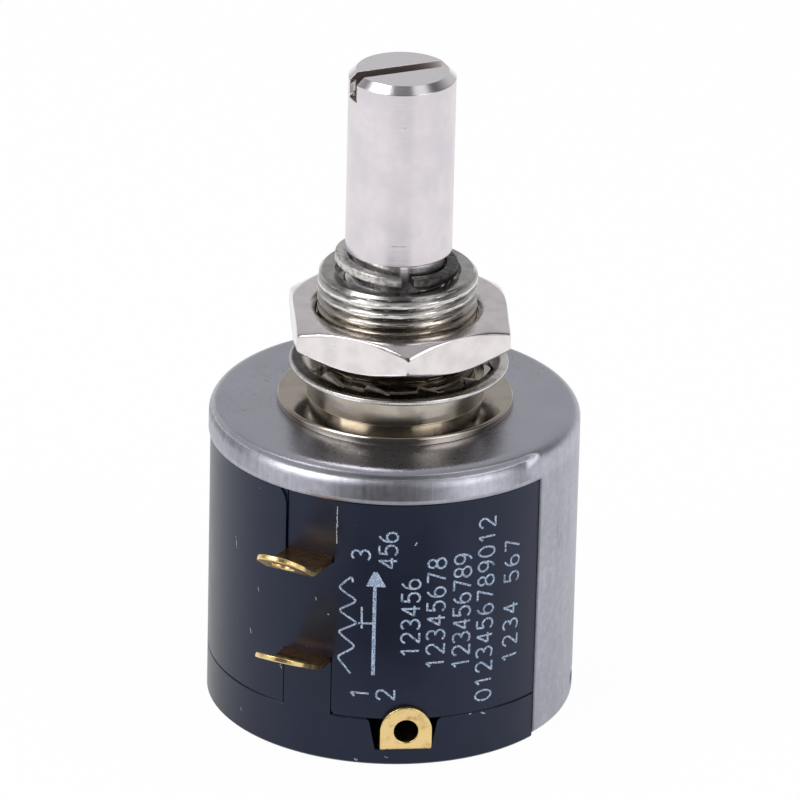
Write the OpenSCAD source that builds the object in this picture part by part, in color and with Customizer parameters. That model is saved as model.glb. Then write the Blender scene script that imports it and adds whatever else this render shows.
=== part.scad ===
// Ten-turn wirewound potentiometer for panel mounting, in millimetres.
// The origin is the centre of the rear face and +Z points to the end of the shaft.
// Terminals 1 and 3 leave the case towards -Y; angles are measured from -Y towards +X.

/* [Metal can] */
// Outside radius of the drawn can
can_r = 11.11; // [10.8:0.01:12.5]
// Sheet thickness of the can
can_wall = 0.4; // [0.3:0.05:0.5]
// Depth of the closed ring below the front face
skirt_h = 1.95; // [1.6:0.05:3]
// Outside radius of the front corner
can_corner_r = 0.9; // [0.6:0.05:1.2]
// Half of the angle that the side window opens
window_half = 78.5; // [60:0.5:88]
// Width of the rolled edge behind the rear lid
roll_w = 1.3; // [0.8:0.1:2]
// Height of the pressed-in lances above the rear face
lance_z = 1.5; // [1.3:0.1:2.2]
// Length of each lance along the wall
lance_w = 3; // [2:0.1:4]
// Height of each lance
lance_h = 0.7; // [0.4:0.05:0.9]
// Angle of the lances from the terminals
lance_angle = 114; // [100:1:160]
// How far each end of a lance laps the wall
lance_lap = 0.1; // [0.05:0.05:0.3]
// Height of the can's rolled edge above the rear face
roll_z = 0.12; // [0.05:0.01:0.2]
// Inside radius of the rolled rear corner
roll_inner_r = 0.15; // [0.05:0.05:0.3]

/* [Moulded case] */
// How far the case stands out in the window, beyond the wall under the can
pad_rise = 0.34; // [0.2:0.02:0.4]
// Wall of the moulded case, inside the can
case_wall = 1.36; // [1.2:0.02:1.5]
// Height of the seam between the rear lid and the case
lid_h = 3; // [2.6:0.1:4]
// Floor thickness of the rear lid
lid_floor = 1; // [0.8:0.05:1.4]
// Thickness of the insulating plate under the can
front_plate_t = 0.9; // [0.8:0.05:1.2]
// Depth of the recessed tongue above terminal 3
tongue_recess = 0.3; // [0.1:0.05:0.4]
// Width of the notch for terminal 2 at its floor
notch_w = 3.34; // [3.3:0.02:3.8]
// How much wider the notch is at its mouth
notch_flare = 0.66; // [0.2:0.02:1]
// Radius of the corners at the notch's mouth
notch_corner_r = 0.35; // [0.2:0.05:0.5]
// Radius of the case's corner beside the slot of terminal 1
slot_corner_r = 0.4; // [0.2:0.05:0.6]
// Radius of the case's corner beside the slot of terminal 3
lead_r = 1.5; // [1.2:0.05:2]
// How much of that corner shows below the can's skirt
lead_h = 1.1; // [0.6:0.05:1.15]
// Small chamfer or rounding on the edges of the moulded pieces
mould_chamfer = 0.12; // [0.05:0.01:0.2]
// Chamfer of the two edges that meet at the seam
seam_chamfer = 0.07; // [0.03:0.01:0.1]

/* [Terminals] */
// Width of a terminal
term_w = 3.1; // [2.6:0.05:3.2]
// Thickness of a terminal
term_t = 0.32; // [0.3:0.02:0.5]
// Radius of the solder hole
eye_r = 0.72; // [0.6:0.02:0.9]
// Length of a terminal outside the case, along the metal
term_len = 5.15; // [4.6:0.05:6]
// Length of terminal 2 outside the case, along the metal
term_2_len = 2.8; // [2.7:0.05:4.2]
// Height of the underside of terminal 1
term_1_z = 6.42; // [6.3:0.01:6.7]
// Depth of the underside of terminal 3 below the front face
term_3_drop = 6.08; // [5.8:0.01:6.2]
// Flat length of terminal 1 before its bend
term_1_flat = 1.1; // [0.6:0.05:1.8]
// Upward bend of terminal 1
term_1_bend = 27; // [0:1:90]
// Flat length of terminal 3 before its bend
term_3_flat = 2.15; // [0.6:0.05:2.2]
// Upward bend of terminal 3
term_3_bend = 36; // [0:1:90]
// Flat length of terminal 2 before its bend, less than nothing where it bends inside the notch
term_2_flat = -0.18; // [-0.18:0.02:0.6]
// Angle of terminal 2 from terminals 1 and 3
term_2_angle = 31.2; // [28:0.2:60]
// Inside radius of the bends
bend_r = 0.2; // [0.1:0.05:0.4]

/* [Bushing] */
// Radius of the threaded part
thread_r = 4.7625; // [4.7:0.0025:4.8]
// Length from the mounting face to the end of the thread
thread_len = 7.94; // [7.5:0.01:9]
// Width of the mounting flange beyond the plain neck
flange_w = 1.77; // [1.3:0.01:2.7]
// Thickness of the mounting flange
flange_t = 0.5; // [0.3:0.05:1]
// Chamfer on the rim of the mounting flange
flange_chamfer = 0.12; // [0.05:0.01:0.2]
// How much wider the plain neck above the flange is than the thread, in radius
neck_step = 0.54; // [0.44:0.02:0.7]
// Height of the plain neck above the flange
neck_h = 1.5; // [1:0.05:1.8]
// Radius of the counterbore in the front end
counterbore_r = 3.72; // [3.7:0.01:4]
// Depth of the counterbore
counterbore_h = 0.6; // [0.4:0.05:1]
// Chamfer on the front end of the thread
thread_chamfer = 0.28; // [0.1:0.02:0.4]
// Radius of the stem that passes through the can
stem_r = 5; // [4.6:0.05:5.2]
// Radius of the head that is staked inside the can
stake_r = 5.8; // [5.5:0.05:5.9]
// Thickness of the staked head
stake_t = 0.6; // [0.5:0.05:0.65]

/* [Shaft] */
// Radius of the shaft
shaft_r = 3.175; // [3.1:0.005:3.2]
// Length from the mounting face to the end of the shaft
shaft_len = 20.62; // [16:0.01:26]
// Chamfer on the end of the shaft
shaft_chamfer = 0.45; // [0.2:0.05:0.8]
// Width of the screwdriver slot
slot_w = 1; // [0.8:0.05:1.4]
// Depth of the screwdriver slot
slot_d = 1.5; // [1:0.05:2]
// Angle of the screwdriver slot from +X
slot_angle = 50; // [0:1:90]
// Radius of the ring groove
groove_r = 2.75; // [2.6:0.05:2.8]
// Length of the ring groove above the end of the bushing
groove_h = 1.36; // [1.2:0.02:1.8]
// Radius of the core inside the rotor
core_r = 2.4; // [2.1:0.05:2.5]
// Radius of the rear journal
journal_r = 1.6; // [1.3:0.05:1.7]
// Length of the rear journal
journal_len = 1.8; // [1.5:0.05:1.9]

/* [Nut and washers] */
// Wall of the nut from the thread to its flats
nut_wall = 1.5875; // [1.2:0.0025:1.8]
// Thickness of the nut
nut_h = 2.2; // [1.8:0.05:2.6]
// Height of the nut above the mounting flange
nut_z = 3.55; // [3.2:0.05:3.8]
// Angle of one corner of the nut
nut_corner_angle = 31; // [0:1:60]
// How far the round faces of the nut stay inside its flats
nut_face_less = 0.05; // [0:0.05:0.3]
// Angle of the bevel on the nut's corners
nut_bevel_angle = 30; // [15:1:30]
// Depth of the countersinks of the nut
nut_countersink = 0.45; // [0.2:0.05:0.6]
// How far the lock washer reaches beyond the thread
lock_reach = 1.77; // [1.5:0.01:2.2]
// Width of the lock washer's closed rim
lock_rim_w = 0.95; // [0.7:0.05:1]
// Thickness of the lock washer
lock_t = 0.28; // [0.2:0.02:0.3]
// Number of inner teeth
lock_teeth = 11; // [8:1:11]
// Angle of the first tooth
tooth_angle = 13.2; // [0:0.2:36]
// Width of one tooth
tooth_w = 1.5; // [1.1:0.05:1.6]
// Twist of one tooth
tooth_twist = 32; // [15:1:35]
// How far the loose lock washer lies off the axis
lock_shift = 0.2; // [0:0.02:0.22]
// Outside radius of the retaining ring
ring_r = 3.68; // [3.6:0.01:3.69]
// Width of the retaining ring's section
ring_w = 0.7; // [0.5:0.05:0.7]
// Thickness of the retaining ring
ring_t = 0.5; // [0.4:0.05:0.5]
// Gap between the ends of the retaining ring
ring_gap = 0.75; // [0.5:0.05:2]
// Height of the retaining ring's middle over the end of the bushing
ring_lift = 0.51; // [0.5:0.01:0.6]
// Tilt of the retaining ring
ring_tilt = 5; // [0:0.5:5]
// Angle at which the retaining ring is highest
ring_up_angle = -64; // [-180:1:180]
// Angle of the retaining ring's gap
ring_gap_angle = 37; // [-180:1:180]
// How far the retaining ring lies off the axis
ring_shift = 0.1; // [0:0.02:0.12]
// Thickness of the thrust washer
thrust_t = 0.6; // [0.4:0.05:0.7]
// Outside radius of the thrust washer
thrust_r = 5.2; // [4.4:0.05:5.6]

/* [Resistance element] */
// Number of turns, which sets the height of the case
turns = 10; // [8:1:12]
// Rise of one turn
pitch = 0.65; // [0.5:0.01:0.8]
// Gap between one turn and the next
turn_gap = 0.1; // [0.06:0.01:0.2]

/* [Rotor and wiper] */
// Radius of the rotor's hub
hub_r = 5.2; // [4.6:0.05:5.3]
// Room between the rotor's end flanges and the case
rotor_room = 1.5; // [1.1:0.1:1.8]
// Thickness of the rotor's front flange
rotor_flange_t = 1.2; // [0.8:0.05:1.5]
// Height of the rotor's rear face
rotor_z = 2.5; // [2.5:0.02:2.6]
// Width of the guide slot
guide_w = 2.4; // [2:0.05:3]
// Radius of the guide slot's floor
guide_floor_r = 3.4; // [3:0.05:3.6]
// Thickness of the collector strip
strip_t = 0.2; // [0.1:0.02:0.3]
// Height of the wiper carriage
carriage_h = 3.4; // [2.8:0.05:3.5]
// Width of the wiper carriage outside the guide slot
carriage_w = 4.4; // [3.2:0.1:5]
// Bevel on the outer edges of the wiper carriage
carriage_bevel = 0.5; // [0.2:0.05:0.8]
// Width of the nose that rides along the element
nose_w = 3; // [2:0.1:4]
// Height of the nose
nose_h = 1.8; // [1.2:0.1:2.4]
// How far the nose stays behind the contact's tip
nose_less = 0.1; // [0.05:0.01:0.15]
// Width of the spring contact
contact_w = 0.8; // [0.5:0.05:1.2]
// Thickness of the spring contact
contact_t = 0.2; // [0.12:0.02:0.3]
// Radius of the rounded tip of the spring contact
contact_tip_r = 0.15; // [0.1:0.01:0.2]
// Inside radius of the collector ring
collector_r = 3.3; // [3.2:0.05:3.5]
// Width of the collector ring
collector_w = 1.5; // [1.2:0.05:1.6]
// Thickness of the collector ring
collector_t = 0.3; // [0.2:0.05:0.35]
// Thickness of the collector brush
brush_t = 0.2; // [0.12:0.02:0.2]
// Number of brush arms
brush_arms = 3; // [2:1:4]
// Length of a brush arm
brush_len = 2.5; // [2.2:0.05:2.8]
// Length of a brush arm's flat root
brush_root_len = 0.4; // [0.3:0.05:0.6]
// Length of a brush arm's foot
brush_foot_len = 0.6; // [0.4:0.05:0.8]
// Outside radius of the rear bearing
bearing_r = 2.3; // [2.1:0.05:2.5]
// Height of the rear bearing
bearing_h = 1.8; // [1.4:0.05:1.85]
// Wall of the boss round the rear bearing
boss_wall = 0.8; // [0.5:0.05:0.85]

/* [Clearances] */
// Gap between pieces that are seated in one another
seat_gap = 0.01; // [0.005:0.005:0.03]
// Radial gap of the shaft in its bearings
run_gap = 0.025; // [0.015:0.005:0.06]
// Gap of the moulded case inside the can
case_gap = 0.05; // [0.02:0.01:0.08]
// Visible gap between the moulded pieces
seam_gap = 0.06; // [0.03:0.01:0.1]
// Gap of a sliding piece in its guide
slide_gap = 0.05; // [0.03:0.01:0.08]
// Gap of a spring contact over its track
contact_gap = 0.04; // [0.02:0.01:0.06]
// Play of the shaft along its axis
end_play = 0.1; // [0.05:0.01:0.15]
// Room left between the carriage and each stop
stop_gap = 0.12; // [0.05:0.01:0.2]
// Gap of the plain nut bore over the thread
nut_gap = 0.04; // [0.02:0.01:0.06]
// Gap of the washer teeth round the thread
tooth_gap = 0.32; // [0.3:0.01:0.36]

/* [Hidden] */
$fn = 96;
// A length that reaches past every piece, for cutting tools
past = 60;
// The case
can_in_r = can_r - can_wall;
seat_r = can_in_r - case_gap;
cavity_r = seat_r - case_wall;
pad_r = seat_r + pad_rise;
// The wiper's travel from terminal 1 to terminal 3, and the front face of the can above them
travel = turns * pitch;
term_3_z = term_1_z + travel;
case_h = term_3_z + term_3_drop;
skirt_z = case_h - skirt_h;
cover_in_z = case_h - can_wall;
pad_top_z = skirt_z - case_gap;
plate_z = cover_in_z - front_plate_t;
slot_case_w = term_w + 2 * seam_gap;
pad_less = asin(2 * case_gap / pad_r);
roll_corner_r = can_wall + roll_inner_r;
lance_in = can_wall - case_gap;
// The element and the wiper
wire_r = (pitch - turn_gap) / 2;
element_z = term_1_z + term_t / 2;
element_r = cavity_r - wire_r - 2 * seat_gap;
mid_z = element_z + travel / 2;
term_in_r = cavity_r - seat_gap;
// The bushing and what is on it
neck_r = thread_r + neck_step;
flange_r = neck_r + flange_w;
flange_top_z = case_h + flange_t;
neck_top_z = flange_top_z + neck_h;
thread_top_z = flange_top_z + thread_len;
shaft_top_z = flange_top_z + shaft_len;
nut_bottom_z = flange_top_z + nut_z;
nut_flat_r = thread_r + nut_wall;
nut_corner_r = nut_flat_r / cos(30);
nut_bevel_r = nut_flat_r - nut_face_less;
nut_bevel_h = (nut_corner_r - nut_bevel_r) * tan(nut_bevel_angle);
lock_r = thread_r + lock_reach;
tooth_tip_r = thread_r + tooth_gap;
tooth_rise = (tooth_w * sin(tooth_twist) + lock_t * cos(tooth_twist)) / 2;
lock_mid_z = neck_top_z + tooth_rise + seat_gap;
tooth_root_r = lock_r - 0.6 * lock_rim_w;
ring_mid_z = thread_top_z + ring_lift;
// The rotor, from the rear
rotor_flange_r = cavity_r - rotor_room;
boss_r = bearing_r + boss_wall;
boss_top_z = rotor_z - brush_t;
bearing_z = boss_top_z - bearing_h;
journal_z = rotor_z - journal_len;
rotor_top_z = cover_in_z - stake_t - end_play - thrust_t;
low_stop_z = mid_z - (travel + carriage_h) / 2 - stop_gap;
high_stop_z = mid_z + (travel + carriage_h) / 2 + stop_gap;
strip_out_r = guide_floor_r + strip_t;
contact_in_r = strip_out_r + contact_gap;
contact_out_r = element_r - wire_r - contact_gap;
carriage_in_r = hub_r + 2 * slide_gap;
nose_r = contact_out_r - nose_less;
collector_out_r = collector_r + collector_w;

metal = [0.62, 0.63, 0.65];
nickel = [0.66, 0.64, 0.60];
bright = [0.86, 0.84, 0.85];
gold = [0.85, 0.66, 0.32];
black = [0.17, 0.18, 0.22];
ivory = [0.86, 0.82, 0.70];
copper = [0.72, 0.45, 0.28];

// Points of an arc round a centre, from one angle to another
function arc(x, y, r, from, to, steps = 8) =
    [for (i = [0:steps]) let (a = from + (to - from) * i / steps) [x + r * cos(a), y + r * sin(a)]];

// Turns a piece drawn towards -Y to its angle round the axis
module at_angle(angle) rotate([0, 0, angle]) children();

// A plain ring from height z, between two radii
module tube(z, h, r_in, r_out) {
    translate([0, 0, z]) difference() {
        cylinder(r = r_out, h = h);
        translate([0, 0, -past / 2]) cylinder(r = r_in, h = past);
    }
}

// A box towards -Y that runs from one radius to another
module radial_box(w, r_in, r_out, z, h) {
    translate([-w / 2, -r_out, z]) cube([w, r_out - r_in, h]);
}

// The part of space that the can's side window opens, narrowed by an angle
module window_wedge(z, h, less = 0) {
    half = window_half - less;
    translate([0, 0, z]) linear_extrude(height = h) polygon([
        [0, 0],
        [-past * sin(half), -past * cos(half)],
        [-past, -past],
        [past, -past],
        [past * sin(half), -past * cos(half)]
    ]);
}

// A round block of the pad's radius between two heights, with a chamfer on each edge
module pad_block(low, high, low_chamfer, high_chamfer) {
    rotate_extrude() polygon([
        [0, low],
        [pad_r - low_chamfer, low],
        [pad_r, low + low_chamfer],
        [pad_r, high - high_chamfer],
        [pad_r - high_chamfer, high],
        [0, high]
    ]);
}

// Half section of a round block with a rounded front corner and rear corner
module block_section(r, low, high, front_r, rear_r) {
    intersection() {
        translate([0, low]) square([r, high - low]);
        union() {
            translate([0, low]) square([r - max(front_r, rear_r), high - low]);
            translate([0, low + rear_r]) square([r, high - low - rear_r - front_r]);
            translate([r - front_r, high - front_r]) circle(r = front_r);
            translate([r - rear_r, low + rear_r]) circle(r = rear_r);
            translate([0, low]) square([r - rear_r, high - low - front_r]);
        }
    }
}

module can_shell() {
    rotate_extrude() difference() {
        block_section(can_r, roll_z, case_h, can_corner_r, roll_corner_r);
        block_section(can_in_r, roll_z + can_wall, cover_in_z,
            can_corner_r - can_wall, roll_inner_r);
        translate([-1, -1]) square([can_in_r - roll_w + 1, lid_floor + 1]);
    }
}

// The pressed-in bridge of metal that holds the rear lid
module lance() {
    radial_box(lance_w + 2 * lance_lap, can_in_r - lance_in, can_r - lance_in,
        lance_z - lance_h / 2, lance_h);
}

module front_cover() {
    color(metal) {
        difference() {
            can_shell();
            window_wedge(-1, skirt_z + 1);
            cylinder(r = stem_r + seat_gap, h = past);
            for (side = [-1, 1]) at_angle(side * lance_angle)
                radial_box(lance_w, can_in_r - 1, can_r + 1, lance_z - lance_h / 2, lance_h);
        }
        for (side = [-1, 1]) at_angle(side * lance_angle) lance();
    }
}

module mounting_bushing() {
    color(nickel) difference() {
        union() {
            translate([0, 0, cover_in_z - stake_t]) cylinder(r = stake_r, h = stake_t);
            translate([0, 0, cover_in_z]) cylinder(r = stem_r, h = can_wall);
            translate([0, 0, case_h]) cylinder(r = flange_r, h = flange_t - flange_chamfer);
            translate([0, 0, flange_top_z - flange_chamfer])
                cylinder(r1 = flange_r, r2 = flange_r - flange_chamfer, h = flange_chamfer);
            translate([0, 0, flange_top_z]) cylinder(r = neck_r, h = neck_h);
            translate([0, 0, neck_top_z])
                cylinder(r = thread_r, h = thread_top_z - neck_top_z - thread_chamfer);
            translate([0, 0, thread_top_z - thread_chamfer])
                cylinder(r1 = thread_r, r2 = thread_r - thread_chamfer, h = thread_chamfer);
        }
        cylinder(r = shaft_r + run_gap, h = past);
        translate([0, 0, thread_top_z - counterbore_h]) cylinder(r = counterbore_r, h = past);
    }
}

// One twisted tooth, drawn towards -Y, with its root in the rim
module lock_tooth() {
    rotate([0, tooth_twist, 0])
        radial_box(tooth_w, tooth_tip_r, tooth_root_r, -lock_t / 2, lock_t);
}

// An internal-tooth washer: a flat rim and teeth that are twisted out of its plane
module lock_washer() {
    color(bright) translate([lock_shift, 0, lock_mid_z]) {
        tube(-lock_t / 2, lock_t, lock_r - lock_rim_w, lock_r);
        for (i = [0:lock_teeth - 1]) at_angle(tooth_angle + i * 360 / lock_teeth) lock_tooth();
    }
}

// A hexagon nut with a 30 degree bevel on both faces and a plain bore
module hex_nut() {
    bore = thread_r + nut_gap;
    color(bright) translate([0, 0, nut_bottom_z]) difference() {
        intersection() {
            at_angle(nut_corner_angle - 90) cylinder(r = nut_corner_r, h = nut_h, $fn = 6);
            union() {
                cylinder(r1 = nut_bevel_r, r2 = nut_corner_r, h = nut_bevel_h);
                translate([0, 0, nut_bevel_h]) cylinder(r = nut_corner_r, h = nut_h - 2 * nut_bevel_h);
                translate([0, 0, nut_h - nut_bevel_h])
                    cylinder(r1 = nut_corner_r, r2 = nut_bevel_r, h = nut_bevel_h);
            }
        }
        translate([0, 0, -nut_h]) cylinder(r = bore, h = 3 * nut_h);
        translate([0, 0, nut_h - nut_countersink])
            cylinder(r1 = bore, r2 = bore + nut_countersink, h = nut_countersink);
        cylinder(r1 = bore + nut_countersink, r2 = bore, h = nut_countersink);
    }
}

module shaft() {
    groove_low_z = thread_top_z - counterbore_h + end_play;
    groove_top_z = thread_top_z + groove_h;
    color(bright) difference() {
        union() {
            translate([0, 0, journal_z]) cylinder(r = journal_r, h = journal_len);
            translate([0, 0, rotor_z]) cylinder(r = core_r, h = rotor_top_z - rotor_z);
            translate([0, 0, rotor_top_z])
                cylinder(r = shaft_r, h = shaft_top_z - rotor_top_z - shaft_chamfer);
            translate([0, 0, shaft_top_z - shaft_chamfer])
                cylinder(r1 = shaft_r, r2 = shaft_r - shaft_chamfer, h = shaft_chamfer);
        }
        tube(groove_low_z, groove_top_z - groove_low_z, groove_r, shaft_r + 1);
        rotate([0, 0, slot_angle]) translate([-past / 2, -slot_w / 2, shaft_top_z - slot_d])
            cube([past, slot_w, slot_d + 1]);
    }
}

// An open spring ring that sits tilted in the groove of the shaft
module retaining_ring() {
    color(metal) translate([0, 0, ring_mid_z]) at_angle(ring_up_angle) rotate([-ring_tilt, 0, 0])
        translate([0, -ring_shift, 0]) at_angle(ring_gap_angle - ring_up_angle) difference() {
            tube(-ring_t / 2, ring_t, ring_r - ring_w, ring_r);
            radial_box(ring_gap, 0, ring_r + 1, -ring_t, 2 * ring_t);
        }
}

module thrust_washer() {
    color(bright) tube(rotor_top_z, thrust_t, shaft_r + slide_gap, thrust_r);
}

// A radial tongue of a moulded piece in the case's slot, under or over a terminal
module slot_tongue(z, h) {
    intersection() {
        tube(z, h, cavity_r, pad_r);
        radial_box(term_w, 0, past, z - 1, h + 2);
    }
}

// The insulating plate under the can, with the tongue that closes the slot above terminal 3
module front_plate() {
    tongue_z = term_3_z + term_t;
    color(black) {
        rotate_extrude() difference() {
            block_section(seat_r, plate_z, cover_in_z, can_corner_r - can_wall + case_gap,
                mould_chamfer);
            translate([-1, 0]) square([stake_r + 1 + 2 * case_gap, past]);
        }
        difference() {
            slot_tongue(tongue_z, plate_z - tongue_z);
            radial_box(past, pad_r - tongue_recess, past, 0, past);
            tube(pad_top_z, past, seat_r, past);
        }
    }
}

// The slot below terminal 1, with one rounded corner at the lid's seam
module rear_slot() {
    half = slot_case_w / 2;
    corner = arc(half + slot_corner_r, lid_h + slot_corner_r, slot_corner_r, 255, 180);
    rotate([90, 0, 0]) linear_extrude(height = past) polygon(concat(
        [[-half, term_1_z + term_t], [-half, 0], [corner[0][0], 0]],
        corner,
        [[half, term_1_z + term_t]]
    ));
}

// The rounded corner of the case beside the recessed tongue above terminal 3
module slot_lead_in() {
    edge = -slot_case_w / 2;
    low = pad_top_z - lead_h;
    curve = arc(edge - lead_r, low, lead_r, 50, 5);
    translate([0, -pad_r + tongue_recess, 0]) rotate([90, 0, 0]) linear_extrude(height = past)
        polygon(concat([[edge + tongue_recess, low], [edge + tongue_recess, case_h],
            [curve[0][0], case_h]], curve));
}

module housing() {
    color(black) difference() {
        union() {
            translate([0, 0, lid_h]) cylinder(r = seat_r, h = plate_z - lid_h);
            intersection() {
                pad_block(lid_h, pad_top_z, seam_chamfer, seam_chamfer);
                window_wedge(0, past, pad_less);
            }
        }
        cylinder(r = cavity_r, h = past);
        rear_slot();
        radial_box(slot_case_w, 0, past, term_3_z, past);
        slot_lead_in();
    }
}

// The notch in the lid's wall for terminal 2, wider towards its mouth, with rounded corners there
module terminal_notch() {
    half = notch_w / 2;
    high = lid_h - lid_floor;
    corner = arc(half + notch_flare / 2 + notch_corner_r, high - notch_corner_r, notch_corner_r, 180, 100);
    side = concat([[half, 0]], corner, [[corner[len(corner) - 1][0], high + notch_corner_r]]);
    other = [for (i = [len(side) - 1:-1:0]) [-side[i][0], side[i][1]]];
    at_angle(term_2_angle) translate([0, -collector_out_r, lid_floor]) rotate([90, 0, 0])
        linear_extrude(height = can_r) polygon(concat(side, other));
}

module rear_lid() {
    roll_top_z = roll_z + can_wall + case_gap;
    color(black) difference() {
        union() {
            difference() {
                cylinder(r = seat_r, h = lid_h);
                tube(-1, roll_top_z + 1, can_in_r - roll_w - case_gap, past);
            }
            intersection() {
                pad_block(0, lid_h, mould_chamfer, seam_chamfer);
                window_wedge(-1, past, pad_less);
            }
            intersection() {
                translate([0, 0, lid_h / 2]) cylinder(r = pad_r, h = term_1_z - lid_h / 2);
                radial_box(term_w, 0, past, 0, past);
            }
        }
        difference() {
            union() {
                translate([0, 0, lid_floor]) cylinder(r = cavity_r, h = past);
                terminal_notch();
            }
            cylinder(r = boss_r, h = boss_top_z);
        }
        translate([0, 0, bearing_z]) cylinder(r = bearing_r + seat_gap, h = past);
        for (side = [-1, 1]) at_angle(side * lance_angle)
            radial_box(lance_w + 2 * lance_lap + 4 * case_gap, can_in_r - lance_in - case_gap, can_r,
                lance_z - lance_h / 2 - case_gap, lance_h + 2 * case_gap);
    }
}

module rear_bearing() {
    color(copper) tube(bearing_z, bearing_h, journal_r + run_gap, bearing_r);
}

// The element is a left-handed coil: turning the shaft clockwise lifts the wiper to terminal 3
module resistance_helix() {
    steps = 32;
    sides = 6;
    rings = turns * steps;
    points = [
        for (i = [0:rings], k = [0:sides - 1])
            let (a = -90 - 360 * i / steps, b = 360 * k / sides, r = element_r + wire_r * cos(b))
            [r * cos(a), r * sin(a), element_z + pitch * i / steps + wire_r * sin(b)]
    ];
    walls = [
        for (i = [0:rings - 1], k = [0:sides - 1])
            let (next = (k + 1) % sides, low = i * sides, high = low + sides)
            [low + k, low + next, high + next, high + k]
    ];
    near_end = [for (k = [sides - 1:-1:0]) k];
    far_end = [for (k = [0:sides - 1]) rings * sides + k];
    color(copper) polyhedron(points = points, faces = concat(walls, [near_end, far_end]));
}

// Corners of a strip's side view: flat from a radius to the case, one bend up, then the tab
function bent_strip(inner_r, flat, bend, tab_len) =
    let (
        out = pad_r + flat,
        mid = term_t + bend_r,
        outer = arc(out, mid, mid, -90, bend - 90),
        inner = arc(out, mid, bend_r, bend - 90, -90),
        reach = tab_len * [cos(bend), sin(bend)],
        tip = [outer[len(outer) - 1] + reach, inner[0] + reach]
    )
    concat([[inner_r, 0]], outer, tip, inner, [[inner_r, term_t]]);

// A terminal leaves the case towards -Y, bends up and ends in a round tab with a solder hole
module terminal(inner_r, z, flat, bend, length) {
    bend_len = (bend_r + term_t / 2) * bend * PI / 180;
    tab_len = length - flat - bend_len;
    eye_at = tab_len - term_w / 2;
    color(gold) translate([0, 0, z]) difference() {
        rotate([90, 0, -90]) linear_extrude(height = term_w, center = true)
            polygon(bent_strip(inner_r, flat, bend, tab_len));
        translate([0, -pad_r - flat, term_t + bend_r]) rotate([-bend, 0, 0])
            translate([0, -eye_at, -bend_r - 2 * term_t]) {
                cylinder(r = eye_r, h = 3 * term_t);
                difference() {
                    translate([-term_w, -2 * term_w, 0]) cube([2 * term_w, 2 * term_w, 3 * term_t]);
                    translate([0, 0, -term_t]) cylinder(r = term_w / 2, h = 5 * term_t);
                }
            }
    }
}

module terminal_1() {
    terminal(term_in_r, term_1_z, term_1_flat, term_1_bend, term_len);
}

module terminal_2() {
    at_angle(term_2_angle)
        terminal(collector_out_r + seat_gap, lid_floor, term_2_flat, 90, term_2_len);
}

module terminal_3() {
    terminal(term_in_r, term_3_z, term_3_flat, term_3_bend, term_len);
}

// The rotor turns with the shaft, and its flanges are the end stops of the carriage
module rotor() {
    color(ivory) difference() {
        union() {
            translate([0, 0, rotor_z]) cylinder(r = hub_r, h = rotor_top_z - rotor_z);
            translate([0, 0, lid_h]) cylinder(r = rotor_flange_r, h = low_stop_z - lid_h);
            translate([0, 0, high_stop_z]) cylinder(r = rotor_flange_r, h = rotor_flange_t);
        }
        cylinder(r = core_r + seat_gap, h = past);
        radial_box(guide_w, guide_floor_r, hub_r + seat_gap, 0, high_stop_z + rotor_flange_t / 2);
    }
}

module collector_strip() {
    color(gold) radial_box(guide_w - 2 * slide_gap, guide_floor_r + seat_gap, strip_out_r,
        rotor_z, high_stop_z - rotor_z);
}

// The carriage slides in the rotor's slot, and its nose rides along the element
module wiper_carriage() {
    slide_w = guide_w - 2 * slide_gap;
    low = -carriage_h / 2;
    color([0.92, 0.90, 0.84]) translate([0, 0, mid_z]) difference() {
        union() {
            radial_box(slide_w, contact_in_r, carriage_in_r + 1, low, carriage_h);
            intersection() {
                radial_box(carriage_w, carriage_in_r, rotor_flange_r, low, carriage_h);
                rotate([0, 90, 0]) translate([0, 0, -past / 2]) linear_extrude(height = past) polygon([
                    [low, 0],
                    [-low, 0],
                    [-low, -rotor_flange_r + carriage_bevel],
                    [-low - carriage_bevel, -rotor_flange_r],
                    [low + carriage_bevel, -rotor_flange_r],
                    [low, -rotor_flange_r + carriage_bevel]
                ]);
            }
            radial_box(nose_w, rotor_flange_r - 1, nose_r, -nose_h / 2, nose_h);
        }
        radial_box(contact_w + 2 * seat_gap, 0, past, -contact_t / 2 - seat_gap, contact_t + 2 * seat_gap);
        translate([0, -nose_r, 0]) rotate([0, 90, 0]) translate([0, 0, -past / 2])
            cylinder(r = wire_r, h = past);
    }
}

// The spring contact joins the element to the collector strip through the carriage
module wiper_contact() {
    color(gold) translate([0, 0, mid_z]) {
        radial_box(contact_w, contact_in_r, contact_out_r - contact_tip_r, -contact_t / 2, contact_t);
        translate([-contact_w / 2, -contact_out_r + contact_tip_r, 0]) rotate([0, 90, 0])
            cylinder(r = contact_tip_r, h = contact_w);
    }
}

module collector_ring() {
    color(gold) tube(lid_floor, collector_t, collector_r, collector_out_r);
}

// One arm of the brush slopes down to the collector ring
module brush_arm() {
    top = rotor_z - brush_t / 2;
    foot = lid_floor + collector_t + contact_gap;
    mid = collector_r + collector_w / 2;
    arm_w = collector_w / 2;
    root = -brush_len / 2;
    shoulder = root + brush_root_len;
    toe = brush_len / 2;
    heel = toe - brush_foot_len;
    translate([0, -mid + arm_w / 2, 0]) rotate([90, 0, 0]) linear_extrude(height = arm_w) polygon([
        [root, top],
        [shoulder, top],
        [heel + brush_t / 2, foot + brush_t],
        [toe, foot + brush_t],
        [toe, foot],
        [heel, foot],
        [root, top - brush_t]
    ]);
}

module collector_brush() {
    color(gold) {
        tube(rotor_z - brush_t, brush_t, collector_r, collector_out_r - 2 * slide_gap);
        for (i = [0:brush_arms - 1]) at_angle(90 + i * 360 / brush_arms) brush_arm();
    }
}

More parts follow.
